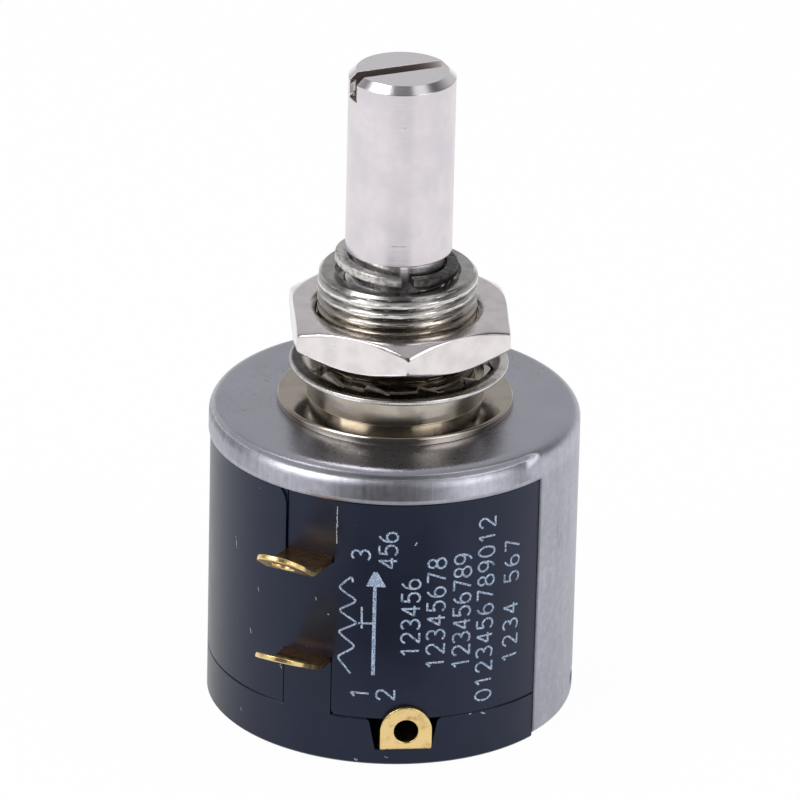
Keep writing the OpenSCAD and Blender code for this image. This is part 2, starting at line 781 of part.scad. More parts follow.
front_cover();
mounting_bushing();
lock_washer();
hex_nut();
shaft();
retaining_ring();
thrust_washer();
front_plate();
housing();
rear_lid();
rear_bearing();
resistance_helix();
terminal_1();
terminal_2();
terminal_3();
rotor();
collector_strip();
wiper_carriage();
wiper_contact();
collector_ring();
collector_brush();
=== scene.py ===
import math

import bmesh
import bpy
import numpy as np
from mathutils import Matrix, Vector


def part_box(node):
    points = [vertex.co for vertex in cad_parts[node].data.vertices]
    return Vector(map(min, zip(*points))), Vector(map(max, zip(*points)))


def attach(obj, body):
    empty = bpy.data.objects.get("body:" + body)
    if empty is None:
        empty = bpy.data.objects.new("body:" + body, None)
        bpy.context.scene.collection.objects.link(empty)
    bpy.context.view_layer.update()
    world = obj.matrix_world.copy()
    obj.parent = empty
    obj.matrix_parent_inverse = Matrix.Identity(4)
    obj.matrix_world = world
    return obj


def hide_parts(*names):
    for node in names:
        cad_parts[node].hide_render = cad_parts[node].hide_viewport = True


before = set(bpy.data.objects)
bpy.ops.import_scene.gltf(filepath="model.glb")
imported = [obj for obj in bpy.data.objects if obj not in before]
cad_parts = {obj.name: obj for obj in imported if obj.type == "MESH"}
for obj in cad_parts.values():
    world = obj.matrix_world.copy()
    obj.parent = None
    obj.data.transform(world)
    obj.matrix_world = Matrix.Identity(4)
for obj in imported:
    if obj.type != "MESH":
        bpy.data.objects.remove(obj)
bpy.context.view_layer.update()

# Camera
# A long lens looks down at the part from 24 degrees above the table, 26 degrees to the right
# of the two terminals on one side, and leans a little, as a hand-held camera does.
MM = 0.001
IMAGE_WIDTH = 800
camera_distance = 480
camera_height_angle = math.radians(23.9)
camera_side_angle = math.radians(26.2)
side_sine, side_cosine = math.sin(camera_side_angle), math.cos(camera_side_angle)
camera_lean = math.radians(-1.355)
camera_drift = math.radians(0.036)
aim_height = 18.87
pixels_per_radian = 8035.7
sensor_width, nearest_seen, furthest_seen = 36, 0.01, 20


def turned(points, angle):
    """Points turned round the part's axis: x cos a - y sin a and x sin a + y cos a."""
    points = np.asarray(points, float)
    x, y, z = points[..., 0], points[..., 1], points[..., 2]
    c, s = math.cos(angle), math.sin(angle)
    return np.stack([x * c - y * s, x * s + y * c, z], -1)


def aimed_camera():
    """The camera's axes: forward is the direction to the aim, and right and up lean about it."""
    e, lean, drift = camera_height_angle, camera_lean, camera_drift
    eye = np.array([0, -math.cos(e), math.sin(e)]) * camera_distance + [0, 0, aim_height]
    forward, right = np.array([0, math.cos(e), -math.sin(e)]), np.array([1.0, 0, 0])
    up = np.cross(right, forward)
    forward, right = (forward * math.cos(drift) + right * math.sin(drift),
                      right * math.cos(drift) - forward * math.sin(drift))
    right, up = (right * math.cos(lean) - up * math.sin(lean),
                 up * math.cos(lean) + right * math.sin(lean))
    eye, right, up, forward = turned([eye, right, up, forward], camera_side_angle)
    place = np.eye(4)
    place[:3] = np.stack([right, up, -forward, eye * MM], 1)
    return Matrix(place.tolist())


camera = bpy.data.objects.new("camera", bpy.data.cameras.new("camera"))
bpy.context.scene.collection.objects.link(camera)
camera.data.sensor_width = sensor_width
camera.data.lens = pixels_per_radian / IMAGE_WIDTH * sensor_width
camera.data.clip_start, camera.data.clip_end = nearest_seen, furthest_seen
camera.matrix_world = aimed_camera()
bpy.context.scene.camera = camera
bpy.context.scene.view_settings.view_transform = "Standard"


# Table and studio light
# A white table under two soft lamps. To the camera, table and room are white. Polished metal
# mirrors a darker room: a tall soft box on either side of the camera, a pale horizon at the
# sides and behind the part, and a dark wedge on the table in front of it.
table_size = 3.0
table_white = 0.88
table_glow_seen, table_glow_mirrored = 0.97, 0.60
shade_near, shade_far, table_front, shade_dark = (20, 28), (40, 47), (125, 150), 0.85
wedge_spread, wedge_edge = 0.45, 8
unlit_grey = (0.03, 0.03, 0.035, 1)
room_light, room_tint, mirror_tint = 0.66, 1.03, 1.02
room_front, room_back, room_above, room_horizon = 0.06, 0.54, 0.42, 0.86
left_box, right_box = (-106, -92, -46, -33), (33, 45, 76, 90)
box_low, box_high, box_level = (0.02, 0.18), (0.90, 0.98), 0.8
back_bearing, horizon_bearing, horizon_height = (95, 140), (30, 42), (0.0, 0.16)
key_power, key_place = 1.2, (-0.22, -0.30, 0.42)
fill_power, fill_place = 0.5, (0.42, -0.10, 0.30)
lamp_size, lamp_aim = 0.30, (0, 0, 0.02)


class Wire:
    """One output of a node. Sums written on wires add the Math nodes that work them out."""

    def __init__(self, nodes, socket):
        self.nodes, self.socket = nodes, socket

    def maths(self, operation, *values):
        return self.nodes.maths(operation, *values)

    def __add__(self, other):
        return self.maths("ADD", self, other)

    def __sub__(self, other):
        return self.maths("SUBTRACT", self, other)

    def __rsub__(self, other):
        return self.maths("SUBTRACT", other, self)

    def __mul__(self, other):
        return self.maths("MULTIPLY", self, other)

    def __pow__(self, other):
        return self.maths("POWER", self, other)

    def __abs__(self):
        return self.maths("ABSOLUTE", self)

    __radd__, __rmul__ = __add__, __mul__

    def either(self, other):
        """The larger of two masks."""
        return self.maths("MAXIMUM", self, other)


class Nodes:
    """A node tree that is written as expressions."""

    def __init__(self, tree):
        self.tree = tree

    def add(self, kind, settings=None, sockets=None, out=0):
        """Adds a node: its settings first, then a value or a wire for each socket."""
        node = self.tree.nodes.new(kind)
        for name, value in (settings or {}).items():
            setattr(node, name, value)
        for name, value in (sockets or {}).items():
            if isinstance(value, Wire):
                self.tree.links.new(value.socket, node.inputs[name])
            else:
                node.inputs[name].default_value = value
        return Wire(self, node.outputs[out]) if node.outputs else None

    def maths(self, operation, *values):
        return self.add("ShaderNodeMath", {"operation": operation}, dict(enumerate(values)))

    def outputs(self, wire, names):
        """Further outputs of the node that a wire comes from."""
        return [Wire(self, wire.socket.node.outputs[name]) for name in names]

    def split(self, vector):
        """The three numbers of a vector."""
        return self.outputs(self.add("ShaderNodeSeparateXYZ", {}, {0: vector}), range(3))

    def rays(self):
        """Two masks: what the camera sees itself, and what it sees in mirrors."""
        return self.outputs(self.add("ShaderNodeLightPath"), ("Is Camera Ray", "Is Glossy Ray"))

    def ramp(self, value, low, high):
        """Rises smoothly from 0 at low to 1 at high."""
        return self.add("ShaderNodeMapRange", {"interpolation_type": "SMOOTHSTEP"},
                        {"Value": value, "From Min": low, "From Max": high})

    def blend(self, share, first, second):
        """Colour first where share is 0, and second where it is 1."""
        colours = [c if isinstance(c, Wire) else (*c, 1) for c in (first, second)]
        return self.add("ShaderNodeMix", {"data_type": "RGBA"},
                        {0: share, 6: colours[0], 7: colours[1]}, 2)


def studio_table():
    """A white floor: part of what the camera and the metal see is its own even glow. In mirrors it
    is dark within a wedge in front of the part: in a band near the part, and again further out."""
    mesh = bpy.data.meshes.new("table")
    half = table_size / 2
    corners = [(-half, -half, 0), (half, -half, 0), (half, half, 0), (-half, half, 0)]
    mesh.from_pydata(corners, [], [(0, 1, 2, 3)])
    table = bpy.data.objects.new("table", mesh)
    bpy.context.scene.collection.objects.link(table)
    finish = bpy.data.materials.new("white_table")
    finish.use_nodes = True
    finish.node_tree.nodes.clear()
    nodes = Nodes(finish.node_tree)
    seen, mirrored = nodes.rays()
    paint = nodes.add("ShaderNodeBsdfDiffuse", {}, {"Color": (*[table_white] * 3, 1)})
    glow = nodes.add("ShaderNodeEmission", {}, {"Color": (1, 1, 1, 1), "Strength": 1.0})
    share = (seen * table_glow_seen).either(mirrored * table_glow_mirrored)
    white = nodes.add("ShaderNodeMixShader", {}, {0: share, 1: paint, 2: glow})
    x, y, z = nodes.split(nodes.add("ShaderNodeTexCoord", {}, {}, 3))
    ahead = (x * side_sine - y * side_cosine) * (1 / MM)
    aside = abs(x * side_cosine + y * side_sine) * (1 / MM)
    near = nodes.ramp(ahead, *shade_near) * (1 - nodes.ramp(ahead, *shade_far))
    wedge = 1 - nodes.ramp(aside - ahead * wedge_spread, -wedge_edge, wedge_edge)
    shade = near.either(nodes.ramp(ahead, *table_front)) * wedge * mirrored * shade_dark
    unlit = nodes.add("ShaderNodeEmission", {}, {"Color": unlit_grey, "Strength": 1.0})
    mixed = nodes.add("ShaderNodeMixShader", {}, {0: shade, 1: white, 2: unlit})
    nodes.add("ShaderNodeOutputMaterial", {}, {"Surface": mixed})
    mesh.materials.append(finish)


def studio_room():
    """The world: white to the camera and plain to dull surfaces. In mirrors its level follows the
    height z of the direction and its bearing, which is 0 towards the camera and grows to the right."""
    world = bpy.data.worlds.new("studio")
    bpy.context.scene.world = world
    world.use_nodes = True
    world.node_tree.nodes.clear()
    nodes = Nodes(world.node_tree)
    seen, mirrored = nodes.rays()
    x, y, z = nodes.split(nodes.add("ShaderNodeTexCoord", {}, {}, 0))
    bearing = nodes.maths("ARCTAN2", x * side_cosine + y * side_sine, x * side_sine - y * side_cosine)
    bearing = bearing * math.degrees(1)
    boxes = 0
    for rise_from, rise_to, fall_from, fall_to in (left_box, right_box):
        box = nodes.ramp(bearing, rise_from, rise_to) * (1 - nodes.ramp(bearing, fall_from, fall_to))
        boxes = box + boxes
    boxes = boxes * nodes.ramp(z, *box_low) * (1 - nodes.ramp(z, *box_high)) * box_level
    level = room_front + nodes.ramp(abs(bearing), *back_bearing) * (room_back - room_front)
    overhead = nodes.ramp(z, *box_high)
    level = level * (1 - overhead) + overhead * room_above
    horizon = (1 - nodes.ramp(z, *horizon_height)) * nodes.ramp(abs(bearing), *horizon_bearing)
    level = level.either(boxes).either(horizon * room_horizon)
    graded = nodes.add("ShaderNodeCombineXYZ", {}, {0: level, 1: level, 2: level * mirror_tint})
    plain = nodes.blend(mirrored, (room_light, room_light, room_light * room_tint), graded)
    colour = nodes.blend(seen, plain, (1, 1, 1))
    sky = nodes.add("ShaderNodeBackground", {}, {"Color": colour, "Strength": 1.0})
    nodes.add("ShaderNodeOutputWorld", {}, {"Surface": sky})


def soft_lamp(name, power, place):
    """A square lamp that faces the part."""
    lamp = bpy.data.lights.new(name, "AREA")
    lamp.energy, lamp.size = power, lamp_size
    holder = bpy.data.objects.new(name, lamp)
    bpy.context.scene.collection.objects.link(holder)
    away = np.array(place, float) - lamp_aim
    away /= np.linalg.norm(away)
    right = np.cross([0, 0, 1], away)
    right /= np.linalg.norm(right)
    matrix = np.eye(4)
    matrix[:3] = np.stack([right, np.cross(away, right), away, place], 1)
    holder.matrix_world = Matrix(matrix.tolist())


studio_table()
studio_room()
soft_lamp("key_lamp", key_power, key_place)
soft_lamp("fill_lamp", fill_power, fill_place)


# Moulded case: housing, rear lid and insulating plate
# Three black thermoset mouldings with a slight gloss. They meet at open seams, carry dust and
# fine scratches from handling, and are held together by the rolled metal can.
moulding_black, moulding_cloud = (0.0040, 0.0062, 0.0150), (0.0060, 0.0085, 0.0185)
moulding_sheen = (0.60, 0.68, 1.0, 1)
moulding_dust = (0.20, 0.23, 0.30)
moulding_grain = 0.006
seam_round = 0.05 * MM


class Finish(Nodes):
    """A material: patterns are worked out in millimetres from the piece's own place."""

    def __init__(self, name, colour, metallic=0.0, roughness=0.5, **sockets):
        self.material = bpy.data.materials.new(name)
        self.material.use_nodes = True
        super().__init__(self.material.node_tree)
        self.shader = self.tree.nodes["Principled BSDF"]
        self.set({"Base Color": (*colour, 1), "Metallic": metallic, "Roughness": roughness})
        self.set({key.replace("_", " "): value for key, value in sockets.items()})
        place = self.add("ShaderNodeTexCoord", {}, {}, 3)
        self.place = self.add("ShaderNodeVectorMath", {"operation": "SCALE"}, {0: place, "Scale": 1 / MM})
        self.x, self.y, self.z = self.split(self.place)
        self.radius = (self.x * self.x + self.y * self.y) ** 0.5
        self.angle = self.maths("ARCTAN2", self.x, self.y * -1)

    def set(self, sockets):
        for name, value in sockets.items():
            if isinstance(value, Wire):
                self.tree.links.new(value.socket, self.shader.inputs[name])
            else:
                self.shader.inputs[name].default_value = value

    def vector(self, x, y, z):
        return self.add("ShaderNodeCombineXYZ", {}, {0: x, 1: y, 2: z})

    def noise(self, scale, detail=2.0, at=None, roughness=0.5):
        """Cloudy noise with a feature about 1 / scale mm across."""
        return self.add("ShaderNodeTexNoise", {}, {
            "Vector": at or self.place, "Scale": scale, "Detail": detail, "Roughness": roughness})

    def specks(self, scale, size, share, core=0.4, step=0.01):
        """Small round specks in a share of the cells, about 1 / scale mm apart."""
        cells = self.add("ShaderNodeTexVoronoi", {}, {"Vector": self.place, "Scale": scale})
        chance = self.split(self.outputs(cells, ["Color"])[0])[0]
        return (1 - self.ramp(cells, size * core, size)) * self.ramp(chance, 1 - share, 1 - share + step)

    def scratches(self, scale, share, stretch=14, slant=0.6, tilt=0.5, half_width=0.012):
        """Thin short lines at a slant: the ridge of a noise that is drawn out one way."""
        drawn_out = self.vector(self.x + self.y * slant, (self.z + self.x * tilt) * (1 / stretch), self.y)
        ridge = self.noise(scale, 1.0, drawn_out)
        near = 1 - self.ramp(abs(ridge - 0.5), 0.0, half_width)
        return near * self.ramp(self.noise(scale * 0.25, 0.0), 1 - share, 1.02 - share)

    def relief(self, height, depth, round_edge=0.0):
        """A bump of the given depth in mm, over edges that may be shaded as rounded."""
        sockets = {"Height": height, "Distance": depth * MM, "Strength": 1.0}
        if round_edge:
            sockets["Normal"] = self.add("ShaderNodeBevel", {"samples": 6}, {"Radius": round_edge})
        self.set({"Normal": self.add("ShaderNodeBump", {}, sockets)})


def moulded_black():
    finish = Finish("moulded_black", moulding_black, roughness=0.30, IOR=1.5, Specular_Tint=moulding_sheen)
    dust = finish.specks(1.4, 0.05, 0.06).either(finish.specks(2.6, 0.05, 0.03))
    cloud = finish.noise(0.5, 3.0)
    colour = finish.blend(finish.ramp(cloud, 0.35, 0.7), moulding_black, moulding_cloud)
    finish.set({
        "Base Color": finish.blend(dust, colour, moulding_dust),
        "Roughness": 0.25 + 0.10 * cloud,
    })
    finish.relief(finish.noise(7, 2.0) * 0.7 + dust * 0.6, moulding_grain, seam_round)
    return finish.material


def dress(node, finish):
    """Gives a CAD node its finish."""
    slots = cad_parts[node].material_slots
    if not slots:
        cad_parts[node].data.materials.append(finish)
    for slot in slots:
        slot.material = finish


case_finish = moulded_black()
for node in ("housing", "rear_lid", "front_plate"):
    dress(node, case_finish)


# Print on the case
# Pale blue ink, printed through a coarse screen: the sign of a variable resistor, the numbers
# of the three terminals, and rows of plain counting numbers that read upwards. Small pale
# marks of wear lie around it.
pad_radius = 11.0
ink_lift = 0.008
ink_width, arrow_width = 0.125, 0.21
ink_deep, ink_pale = (0.34, 0.45, 0.62), (0.52, 0.62, 0.78)
wear_deep, wear_pale = (0.26, 0.29, 0.33), (0.52, 0.56, 0.58)
print_depth = 0.01
numeral_height = 1.08
# Rows of numbers: distance round the case from the terminals' side, lowest point, step, digits
number_rows = [
    (6.26, 7.15, 0.88, "123456"), (7.78, 6.3, 0.93, "12345678"), (9.39, 6.1, 0.85, "123456789"),
    (10.94, 3.7, 0.94, "0123456789012"), (12.81, 5.8, 1.04, "1234 567"),
    (3.34, 4.3, 0.9, "1"), (4.86, 4.3, 0.9, "2"), (3.24, 13.35, 0.9, "3"), (4.86, 12.9, 0.85, "456"),
]
# Width and path of each mark: the pale flash left by the mould, scratches, chips and dust
wear_marks = [
    (0.06, [[1.77, 16.6], [1.75, 15.9], [1.79, 15.5], [1.73, 15.3], [1.77, 14.2]]),
    (0.10, [[1.73, 15.55], [1.80, 15.3]]),
    (0.08, [[6.42, 14.38], [6.54, 14.58]]),
    (0.09, [[1.28, 9.52], [1.37, 9.54]]),
    (0.05, [[0.50, 10.5], [0.55, 10.3]]),
    (0.05, [[-3.72, 9.95], [-3.62, 9.65]]),
    (0.05, [[-4.36, 7.02], [-4.25, 6.72]]),
    (0.05, [[-1.87, 5.5], [-1.74, 5.25]]),
    (0.05, [[-5.15, 1.45], [-5.08, 1.25]]),
    (0.09, [[3.12, 0.30], [3.2, 0.22], [3.3, 0.27]]),
    (0.08, [[10.85, 2.92], [11.0, 2.80], [11.15, 2.78]]),
    (0.06, [[10.0, 2.95], [10.2, 2.96]]),
    (0.05, [[-5.95, 12.4], [-5.84, 12.0], [-5.86, 11.7]]),
    (0.04, [[4.9, 0.55], [5.1, 0.5]]),
]


def bend(cx, cy, rx, ry, start, stop, steps=12):
    """Points of part of an oval: cx + rx cos t and cy + ry sin t."""
    t = np.radians(np.linspace(start, stop, steps))
    return np.stack([cx + rx * np.cos(t), cy + ry * np.sin(t)], -1)


def numeral(digit):
    """The strokes of a plain digit, in a box 0.6 wide and 1 high."""
    paths = {
        "0": [bend(0.3, 0.5, 0.3, 0.5, 0, 360, 24)],
        "1": [np.array([[0.12, 0.78], [0.34, 1], [0.34, 0]])],
        "2": [np.vstack([bend(0.3, 0.72, 0.28, 0.28, 170, -35), [[0.02, 0], [0.6, 0]]])],
        "3": [bend(0.28, 0.75, 0.27, 0.25, 150, -90), bend(0.28, 0.26, 0.31, 0.26, 90, -150)],
        "4": [np.array([[0.45, 0], [0.45, 1], [0.02, 0.3], [0.62, 0.3]])],
        "5": [np.vstack([[[0.55, 1], [0.1, 1], [0.06, 0.56]], bend(0.28, 0.33, 0.31, 0.32, 120, -150)])],
        "6": [np.vstack([bend(0.42, 0.42, 0.4, 0.58, 100, 180), bend(0.3, 0.3, 0.28, 0.3, 180, 540, 18)])],
        "7": [np.array([[0.02, 1], [0.6, 1], [0.2, 0]])],
        "8": [bend(0.3, 0.76, 0.24, 0.24, -90, 270, 18), bend(0.3, 0.26, 0.3, 0.26, 90, 450, 18)],
        "9": [np.vstack([bend(0.18, 0.58, 0.4, 0.58, -80, 0), bend(0.3, 0.7, 0.28, 0.3, 0, 360, 18)])],
    }
    return paths.get(digit, [])


def softened(path, radius, steps=4):
    """A path with rounded corners, or an array of such paths: each corner P gives way to the curve
    (1-u)^2 A + 2u(1-u) P + u^2 B, where A and B lie a radius before and after it."""
    path = np.asarray(path, float)
    corner = path[..., 1:-1, :]
    legs = path[..., :-2, :] - corner, path[..., 2:, :] - corner
    lengths = [np.linalg.norm(leg, axis=-1, keepdims=True) for leg in legs]
    reach = np.minimum(radius, 0.45 * np.minimum(*lengths))
    a, b = ((corner + leg / length * reach)[..., None, :] for leg, length in zip(legs, lengths))
    u = np.linspace(0, 1, steps)[:, None]
    curve = (1 - u) ** 2 * a + 2 * u * (1 - u) * corner[..., None, :] + u ** 2 * b
    curve = curve.reshape(*path.shape[:-2], -1, path.shape[-1])
    return np.concatenate([path[..., :1, :], curve, path[..., -1:, :]], -2)


def row_strokes(middle, low, step, digits):
    """A row that reads upwards: its strokes as distance round the case and height."""
    strokes = []
    for place, digit in enumerate(digits):
        for line in numeral(digit):
            along = low + place * step + line[:, 0] * numeral_height
            strokes.append(np.stack([middle + (0.5 - line[:, 1]) * numeral_height, along], -1))
    return strokes


def resistor_sign():
    """A zigzag with blunt corners, joined by a short bar to an arrow that points to terminal 3. The
    arrow's head is filled with close lines that meet near its tip."""
    turns = softened([[2.75, 5.9], [2.2, 6.55], [1.92, 6.88], [3.05, 7.68], [1.90, 8.53], [3.15, 9.22],
                      [1.92, 9.93], [3.10, 10.66], [1.90, 11.4], [2.72, 12.22], [2.80, 11.85]], 0.3)
    head = [np.array([[3.65 + 0.066 * k, 11.68], [4.13 + 0.006 * (k - 8), 12.62]]) for k in range(17)]
    return [turns, *head, np.array([[3.15, 9.22], [4.03, 9.28]]), np.array([[3.38, 8.9], [3.36, 10.3]])]


def ribbon(line, width):
    """A flat ribbon on the case's round face: the line moved half a width to either side."""
    run = np.gradient(line, axis=0)
    run /= np.linalg.norm(run, axis=1, keepdims=True)
    side = np.stack([-run[:, 1], run[:, 0]], -1) * width / 2
    edges = np.stack([line - side, line + side])
    angle, r = edges[..., 0] / pad_radius, pad_radius + ink_lift
    return np.stack([r * np.sin(angle), -r * np.cos(angle), edges[..., 1]], -1)


def refined(line, step=0.12):
    """More points along a line, about a step apart, so that it follows the round case."""
    line = np.asarray(line, float)
    run = np.concatenate([[0], np.cumsum(np.linalg.norm(np.diff(line, axis=0), axis=1))])
    t = np.unique(np.concatenate([run, np.arange(0, run[-1], step)]))
    return np.stack([np.interp(t, run, line[:, k]) for k in range(2)], -1)


def piece(name, sheets, finish, body, stands_for=(), sharp=35, bevel=0.0,
          solid=True):
    """A mesh in mm from sheets, each an array of rows x columns x 3 whose neighbours are
    joined by quads. Points that coincide are merged, and closed shapes face outwards."""
    points, quads, start = [], [], 0
    for sheet in sheets:
        rows, columns = sheet.shape[:2]
        ids = start + np.arange(rows * columns).reshape(rows, columns)
        around = ids[:-1, :-1], ids[:-1, 1:], ids[1:, 1:], ids[1:, :-1]
        quads.append(np.stack(around, -1).reshape(-1, 4))
        points.append(sheet.reshape(-1, 3) * MM)
        start += rows * columns
    mesh = bpy.data.meshes.new(name)
    mesh.from_pydata(np.concatenate(points), [], np.concatenate(quads))
    shape = bmesh.new()
    shape.from_mesh(mesh)
    bmesh.ops.remove_doubles(shape, verts=shape.verts, dist=2e-7)
    bmesh.ops.dissolve_degenerate(shape, edges=shape.edges, dist=1e-7)
    if solid:
        bmesh.ops.recalc_face_normals(shape, faces=shape.faces)
    shape.to_mesh(mesh)
    shape.free()
    mesh.shade_smooth()
    mesh.set_sharp_from_angle(angle=math.radians(sharp))
    mesh.materials.append(finish)
    made = bpy.data.objects.new(name, mesh)
    bpy.context.scene.collection.objects.link(made)
    if bevel:
        edge = made.modifiers.new("rounded_edges", "BEVEL")
        edge.width, edge.segments, edge.limit_method = bevel * MM, 2, "ANGLE"
        edge.angle_limit, edge.harden_normals = math.radians(sharp), True
    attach(made, body)
    if stands_for:
        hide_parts(*stands_for)


def screen_ink():
    finish = Finish("screen_ink", (0.42, 0.53, 0.70), roughness=0.55)
    grain = finish.noise(13, 2.0)
    finish.set({
        "Base Color": finish.blend(finish.ramp(finish.noise(3), 0.3, 0.7), ink_deep, ink_pale),
        "Alpha": 0.25 + 0.75 * finish.ramp(grain, 0.40, 0.54),
    })
    finish.relief(grain, print_depth)
    return finish.material


def pale_wear():
    finish = Finish("pale_wear", (0.40, 0.44, 0.46), roughness=0.6)
    grain = finish.noise(9, 2.0)
    finish.set({
        "Base Color": finish.blend(grain, wear_deep, wear_pale),
        "Alpha": finish.ramp(grain, 0.30, 0.48),
    })
    finish.relief(grain, print_depth)
    return finish.material


strokes = [(ink_width, line) for line in resistor_sign()]
strokes += [(ink_width, line) for row in number_rows for line in row_strokes(*row)]
strokes += [(arrow_width, [[4.11, 5.9], [4.11, 11.8]])]
for name, marks, finish in (("case_print", strokes, screen_ink()), ("case_wear", wear_marks, pale_wear())):
    piece(name, [ribbon(refined(line), width) for width, line in marks], finish, "case", solid=False)


# Metal can
# Sheet steel, drawn and plated to a satin grey. The flat face keeps the sheet's soft skin, and
# the closed skirt and the wall beside the window have fine marks along the draw. The press left
# the short skirt over the window leaning out a little, which is shading only.
can_low, can_high = (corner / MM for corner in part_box("front_cover"))
can_radius, face_height = (can_high[0] - can_low[0]) / 2, can_high[2]
steel_grey, steel_dark, steel_light = (0.46, 0.47, 0.54), (0.37, 0.375, 0.43), (0.56, 0.56, 0.62)
steel_mark, skin_depth = (0.25, 0.24, 0.24), 0.006
can_round, skirt_height, skirt_edge, skirt_lean = 0.4, 1.95, 0.22, math.radians(21)
strap_top, strap_fade, strap_shade = face_height - skirt_height, 0.2, 0.18
window_half, window_fade = math.radians(78.5), math.radians(8)


def satin_steel():
    finish = Finish("satin_steel", steel_grey, 1.0, 0.36)
    wall = finish.ramp(finish.radius, can_radius - 0.35, can_radius - 0.1)
    drawn = finish.noise(1.0, 3.0, finish.vector(finish.angle * 70, finish.z * 0.25, 0.0))
    coarse = finish.noise(1.0, 1.0, finish.vector(finish.angle * 14, finish.z * 0.12, 3.0))
    skin = finish.noise(3.2, 3.0)
    marks = finish.scratches(0.8, 0.4).either(finish.specks(1.2, 0.05, 0.12))
    mottle = finish.noise(2.2, 4.0, roughness=0.7)
    # The wall below the skirt is painted a little darker by strap_shade: painted shade.
    strap = wall * (1 - finish.ramp(finish.z, strap_top - strap_fade, strap_top + strap_fade))
    tone = wall * (drawn - 0.5) * 0.45 + wall * (coarse - 0.5) * 0.3 + wall * (mottle - 0.5) * 0.9
    tone = tone + (finish.noise(0.35, 2.0) - 0.5) * 0.25 - strap * strap_shade
    colour = finish.blend(finish.ramp(tone, -0.4, 0.4), steel_dark, steel_light)
    finish.set({
        "Base Color": finish.blend(marks * 0.5, colour, steel_mark),
        "Roughness": 0.25 + wall * (0.02 + 0.12 * drawn) + 0.06 * skin,
    })
    above = finish.maths("MAXIMUM", finish.z - face_height + skirt_height - skirt_edge, 0.0)
    over_window = 1 - finish.ramp(abs(finish.angle), window_half - window_fade, window_half)
    lean = wall * above * over_window * (-math.tan(skirt_lean) / skin_depth)
    finish.relief(skin * 0.5 + wall * drawn * 0.6 - marks * 0.5 + lean, skin_depth, can_round * MM)
    return finish.material


dress("front_cover", satin_steel())


# Mounting bushing
# Turned brass with a dull nickel plate, staked into the can: a thin flange, a plain neck with
# turning marks, and a fine thread. The thread's grooves and the stretch under the nut are painted
# darker, as grime and painted shade, and the thread is brighter towards its top.
thread_rise, thread_depth, groove_floor, groove_slope = 0.61, 0.24, 1.05, 1.55
thread_runout, thread_top_runout = 0.35, 0.12
neck_radius, flange_height, flange_chamfer, neck_height = 5.3025, 0.5, 0.12, 1.5
counterbore_radius, counterbore_depth, bore_radius = 3.72, 0.6, 3.2
staked_radius, staked_neck, can_thickness, face_gap = 5.8, 5.0, 0.4, 0.001
edge_round = 0.05
bushing_low, bushing_high = (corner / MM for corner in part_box("mounting_bushing"))
flange_radius, thread_top = bushing_high[0], bushing_high[2]
thread_radius, thread_chamfer = 4.7625, 0.28
shoulder = face_height + flange_height + neck_height
nickel_plain, nickel_stained, nickel_bright = (0.49, 0.44, 0.375), (0.37, 0.32, 0.255), (0.88, 0.87, 0.85)
nickel_brown, nickel_worn, thread_grime_and_shade = (0.36, 0.29, 0.19), (0.30, 0.27, 0.23), (0.07, 0.055, 0.042)


def revolved(profile, columns=192, start=0, stop=360):
    """A profile of radius and height carried round the axis: r sin a, -r cos a and z."""
    profile = np.asarray(profile, float)
    a = np.radians(np.linspace(start, stop, columns + 1))[:, None]
    r, z = profile[:, 0][None], profile[:, 1][None]
    return np.stack([r * np.sin(a), -r * np.cos(a), z + 0 * a], -1)


def thread_sheet(columns=180, rows_a_turn=20):
    """The thread: the radius falls from its crest by the depth times a blunt saw of the height
    less the angle's share of the rise, and dies out at both ends."""
    low, high = shoulder, thread_top
    rows = int((high - low) / thread_rise * rows_a_turn)
    z = np.linspace(low, high, rows)[:, None]
    a = np.linspace(0, 2 * np.pi, columns + 1)[None]
    phase = np.mod(z / thread_rise - a / (2 * np.pi), 1)
    groove = np.clip(groove_floor - groove_slope * np.abs(phase - 0.5) * 2, 0, 1)
    fade = np.clip((z - low) / thread_runout, 0, 1) * np.clip((high - z) / thread_top_runout, 0, 1)
    r = thread_radius - thread_depth * groove * fade
    r = np.minimum(r, thread_radius - thread_chamfer + (high - z))
    return np.stack([r * np.sin(a), -r * np.cos(a), z + 0 * a], -1)


